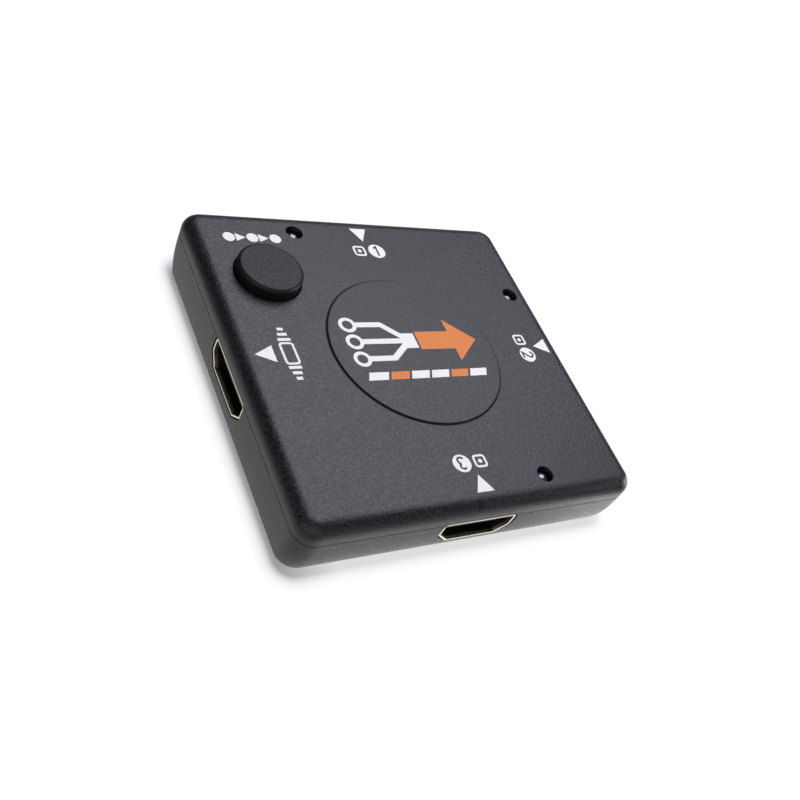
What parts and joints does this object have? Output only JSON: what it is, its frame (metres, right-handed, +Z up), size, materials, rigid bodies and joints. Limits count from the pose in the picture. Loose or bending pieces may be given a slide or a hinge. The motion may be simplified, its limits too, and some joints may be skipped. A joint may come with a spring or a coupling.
{
  "type": "hdmi switch box",
  "caption": "Low square video switch box with rounded edges, a socket in each side, a round select button, indicator lamps and a round centre plate.",
  "frame": {"origin": "on the resting surface, under the middle of the case", "axes": "+Z up; the output socket faces -X, input 1 +Y, input 2 +X and input 3 -Y; the select button is near the corner between -X and +Y"},
  "size_m": [0.068, 0.068, 0.0149],
  "materials": {
    "case_plastic": "fine grained matte charcoal",
    "disc_plastic": "fine grained matte charcoal",
    "button_plastic": "smooth satin charcoal",
    "screw_steel": "blackened",
    "black_plastic": "moulded",
    "stem_plastic": "moulded",
    "bright_steel": "plated sheet",
    "board_laminate": "solder mask",
    "chip_plastic": "moulded",
    "tin_plate": "tinned",
    "ceramic": "fired",
    "resistor_ceramic": "glazed",
    "can_aluminium": "drawn",
    "clear_lamp": "clear resin",
    "socket_metal": "warm nickel plate",
    "insulator_plastic": "moulded",
    "contact_gold": "gold plate",
    "white_print": "pad printed ink",
    "orange_print": "pad printed ink"
  },
  "bodies": {
    "case": {"capacitor_can_bases": "black_plastic", "capacitor_cans": "can_aluminium", "case_screws": "screw_steel", "centre_disc": "disc_plastic", "ceramic_capacitors": "ceramic", "circuit_board": "board_laminate", "control_chip": "chip_plastic", "control_chip_leads": "tin_plate", "diode_leads": "tin_plate", "key_base": "black_plastic", "key_cover": "bright_steel", "key_dome": "bright_steel", "key_legs": "bright_steel", "lamp_in_1": "clear_lamp", "lamp_in_2": "clear_lamp", "lamp_in_3": "clear_lamp", "lamp_leads": "bright_steel", "lower_shell": "case_plastic", "memory_chip_leads": "tin_plate", "memory_chips": "chip_plastic", "power_diodes": "chip_plastic", "regulator_leads": "tin_plate", "resistors": "resistor_ceramic", "small_part_ends": "tin_plate", "socket_in_1_contacts": "contact_gold", "socket_in_1_insulator": "insulator_plastic", "socket_in_1_shell": "socket_metal", "socket_in_2_contacts": "contact_gold", "socket_in_2_insulator": "insulator_plastic", "socket_in_2_shell": "socket_metal", "socket_in_3_contacts": "contact_gold", "socket_in_3_insulator": "insulator_plastic", "socket_in_3_shell": "socket_metal", "socket_output_contacts": "contact_gold", "socket_output_insulator": "insulator_plastic", "socket_output_shell": "socket_metal", "switch_chip": "chip_plastic", "switch_chip_leads": "tin_plate", "upper_shell": "case_plastic", "voltage_regulator": "chip_plastic"},
    "button": {"select_button": "button_plastic"},
    "key_stem": {"key_plunger": "stem_plastic"}
  },
  "joints": [
    {"name": "button_press", "type": "slide", "parent": "case", "child": "button", "axis": [0, 0, -1], "range_m": [0, 0.0003], "stiffness_N_per_m": 5000, "springref_m": -0.0001},
    {"name": "key_stem_press", "type": "slide", "parent": "case", "child": "key_stem", "axis": [0, 0, -1], "range_m": [0, 0.0003], "stiffness_N_per_m": 200, "springref_m": -0.0001, "deforming": ["key_dome"]}
  ],
  "couplings": [
    {"joint": "key_stem_press", "follows": "button_press", "ratio": 1}
  ]
}
